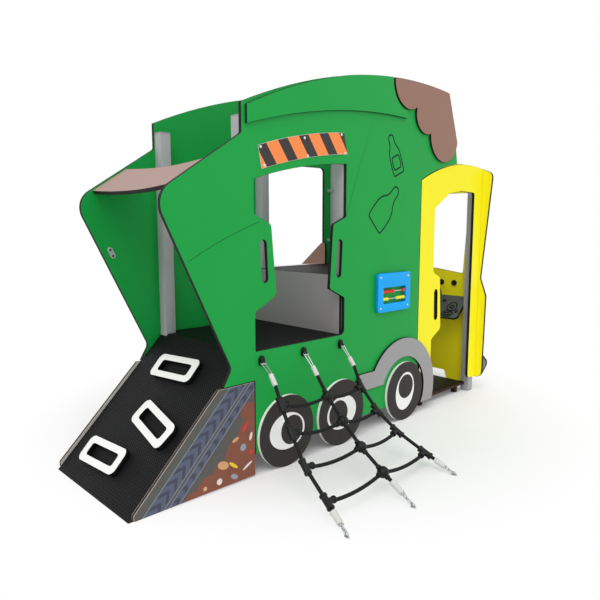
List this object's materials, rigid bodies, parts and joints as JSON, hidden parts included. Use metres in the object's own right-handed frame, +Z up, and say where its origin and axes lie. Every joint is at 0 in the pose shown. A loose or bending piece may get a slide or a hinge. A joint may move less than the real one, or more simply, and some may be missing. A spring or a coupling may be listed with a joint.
{
  "type": "playground play truck",
  "caption": "Playground play unit shaped like a refuse lorry: boarded sides on posts, decks, ramp with grips, rope net, slide and a cab with a steering wheel.",
  "frame": {"origin": "middle of the whole outline, on the floor", "axes": "+X to the cab end, +Y to the slide side, +Z up"},
  "size_m": [2.757, 2.7007, 2.023],
  "materials": {
    "green_board": "satin laminate board, dark core edge",
    "green_band": "satin laminate board, dark core edge",
    "yellow_board": "satin laminate board, dark core edge",
    "brown_board": "satin laminate board, dark core edge",
    "brown_sheet": "satin laminate sheet",
    "hazard_board": "satin board with slanted dark stripes",
    "cheek_board": "satin printed laminate board",
    "grey_board": "satin laminate board, dark core edge",
    "dark_grey_board": "satin laminate board",
    "wheel_board": "grained three-layer board, light core in the milled ring",
    "deck_board": "black anti-slip board with a fine hexagon relief",
    "post_metal": "fine matt powder coat",
    "cap_plastic": "moulded",
    "black_plastic": "fine moulded",
    "rope_black": "laid strands over steel cores",
    "steel": "brushed",
    "grip_board": "white faced board with black sides",
    "lamp_board": "satin board",
    "blue_board": "satin board",
    "bead_red": "gloss",
    "bead_yellow": "gloss"
  },
  "bodies": {
    "truck": {"lower_deck": "deck_board", "upper_deck": "deck_board", "cab_floor": "deck_board", "riser": "dark_grey_board", "cab_back": "dark_grey_board", "deck_brackets": "steel", "panel_brackets": "steel", "post_caps": "cap_plastic", "ramp": "deck_board", "hood": "brown_sheet", "front_board": "yellow_board", "ramp_grips": "grip_board", "bumper": "grey_board", "grille": "grey_board", "console": "grey_board", "console_brackets": "black_plastic", "dash_knobs": "black_plastic", "slide_bed": "steel", "headlamps": "lamp_board", "slide_cheeks": "brown_board", "net_eyelets": "black_plastic", "net_shackles": "steel", "net_ferrules": "steel", "net_connectors": "black_plastic", "net_ropes": "rope_black", "net_anchors": "steel", "bead_frame": "blue_board", "bead_rods": "steel", "green_side_near": "green_board", "cab_side_near": "yellow_board", "top_band_near": "green_band", "load_panel_near": "brown_board", "hazard_plate_near": "hazard_board", "ramp_cheek_near": "cheek_board", "fender_near": "grey_board", "wheels_near": "wheel_board", "green_side_far": "green_board", "cab_side_far": "yellow_board", "top_band_far": "green_band", "load_panel_far": "brown_board", "hazard_plate_far": "hazard_board", "ramp_cheek_far": "cheek_board", "fender_far": "grey_board", "wheels_far": "wheel_board", "posts_rear": "post_metal", "posts_mid": "post_metal", "posts_cab": "post_metal", "posts_front": "post_metal"},
    "steering_wheel": {"steering_wheel": "black_plastic"},
    "beads_red_rear": {"beads_red_rear": "bead_red"},
    "beads_red_front": {"beads_red_front": "bead_red"},
    "beads_yellow_rear": {"beads_yellow_rear": "bead_yellow"},
    "beads_yellow_front": {"beads_yellow_front": "bead_yellow"}
  },
  "joints": [
    {"name": "steering_turn", "type": "hinge", "parent": "truck", "child": "steering_wheel", "pos_m": [1.21285, -0.25537, 0.66265], "axis": [-0.7071, 0, 0.7071], "continuous": true},
    {"name": "red_rear_slide", "type": "slide", "parent": "truck", "child": "beads_red_rear", "axis": [1, 0, 0], "range_m": [0, 0.0366]},
    {"name": "red_front_slide", "type": "slide", "parent": "truck", "child": "beads_red_front", "axis": [1, 0, 0], "range_m": [-0.0366, 0]},
    {"name": "yellow_rear_slide", "type": "slide", "parent": "truck", "child": "beads_yellow_rear", "axis": [1, 0, 0], "range_m": [0, 0.0366]},
    {"name": "yellow_front_slide", "type": "slide", "parent": "truck", "child": "beads_yellow_front", "axis": [1, 0, 0], "range_m": [-0.0366, 0]}
  ]
}
